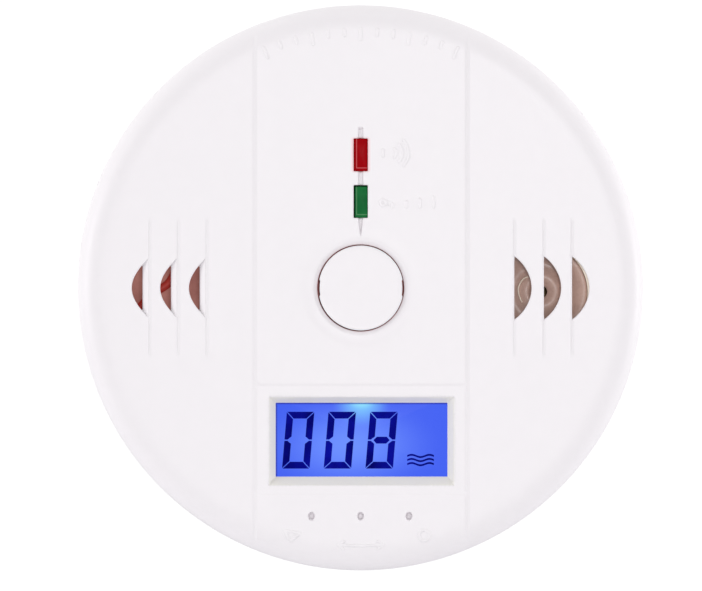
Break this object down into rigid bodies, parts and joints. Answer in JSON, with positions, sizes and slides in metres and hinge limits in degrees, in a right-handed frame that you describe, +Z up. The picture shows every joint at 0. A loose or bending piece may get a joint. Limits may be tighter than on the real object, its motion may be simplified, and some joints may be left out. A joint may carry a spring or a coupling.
{
  "type": "carbon monoxide detector",
  "caption": "Round wall-mounted carbon monoxide detector with a display, test button, two lamps, side louvres and a twist-off wall plate.",
  "frame": {"origin": "centre of the wall plate's back face", "axes": "+Z up the wall, +Y into the wall, the face looks towards -Y, +X to the right as seen from the front"},
  "size_m": [0.1, 0.038, 0.1],
  "materials": {
    "white_plastic": "fine satin moulding",
    "case_plastic": "fine satin moulding",
    "holder_plastic": "satin moulding",
    "red_lens": "clear tinted epoxy, polished",
    "green_lens": "clear tinted epoxy, polished",
    "display_glass": "polished",
    "diffuser_film": "lit translucent film",
    "guide_acrylic": "polished acrylic",
    "lamp_epoxy": "moulded epoxy",
    "elastomer": "striped silicone",
    "sounder_plastic": "fine matt moulding",
    "brass_sheet": "rolled",
    "copper_winding": "enamelled wire",
    "sensor_phenolic": "phenolic moulding",
    "board_laminate": "phenolic laminate with lacquer",
    "steel_can": "drawn steel",
    "plated_wire": "tinned",
    "contact_steel": "nickel plated",
    "spring_steel": "drawn wire",
    "screw_steel": "zinc plated",
    "black_plastic": "matt moulding",
    "capacitor_sleeve": "shrink sleeve",
    "resistor_lacquer": "lacquer with colour bands",
    "cell_wrap": "film-wrapped can",
    "red_insulation": "smooth insulation",
    "black_insulation": "smooth insulation"
  },
  "bodies": {
    "wall_plate": {"mounting_plate": "case_plastic"},
    "head": {"front_cover": "white_plastic", "rear_case": "case_plastic", "lcd_holder": "holder_plastic", "red_led": "red_lens", "green_led": "green_lens", "lcd_front_glass": "display_glass", "lcd_rear_glass": "display_glass", "lcd_diffuser": "diffuser_film", "light_guide": "guide_acrylic", "backlight_led": "lamp_epoxy", "lcd_connector": "elastomer", "sounder_case": "sounder_plastic", "sounder_lid": "sounder_plastic", "piezo_disc": "brass_sheet", "coil": "copper_winding", "co_sensor_cap": "sensor_phenolic", "main_board": "board_laminate", "co_sensor_can": "steel_can", "switch_cover": "steel_can", "switch_pins": "plated_wire", "led_leads": "plated_wire", "sounder_pins": "plated_wire", "co_sensor_pins": "plated_wire", "controller_legs": "plated_wire", "cell_springs": "contact_steel", "positive_contact": "contact_steel", "negative_contact": "contact_steel", "right_bridge": "contact_steel", "left_bridge": "contact_steel", "button_spring": "spring_steel", "case_screws": "screw_steel", "board_screws": "screw_steel", "switch_body": "black_plastic", "co_sensor_base": "black_plastic", "controller_chip": "black_plastic", "capacitors": "capacitor_sleeve", "resistors": "resistor_lacquer", "battery_bottom": "cell_wrap", "battery_middle": "cell_wrap", "battery_top": "cell_wrap", "red_lead": "red_insulation", "black_lead": "black_insulation"},
    "button": {"test_button": "white_plastic"},
    "plunger": {"switch_plunger": "black_plastic"}
  },
  "joints": [
    {"name": "bayonet_twist", "type": "hinge", "parent": "wall_plate", "child": "head", "pos_m": [0, 0, 0], "axis": [0, -1, 0], "range_deg": [0, 24]},
    {"name": "button_press", "type": "slide", "parent": "head", "child": "button", "axis": [0, 1, 0], "range_m": [0, 0.0008], "stiffness_N_per_m": 1500, "springref_m": -0.001, "deforming": ["button_spring"]},
    {"name": "plunger_press", "type": "slide", "parent": "head", "child": "plunger", "axis": [0, 1, 0], "range_m": [0, 0.0003]}
  ],
  "couplings": [
    {"joint": "plunger_press", "follows": "button_press", "ratio": 0.375}
  ]
}
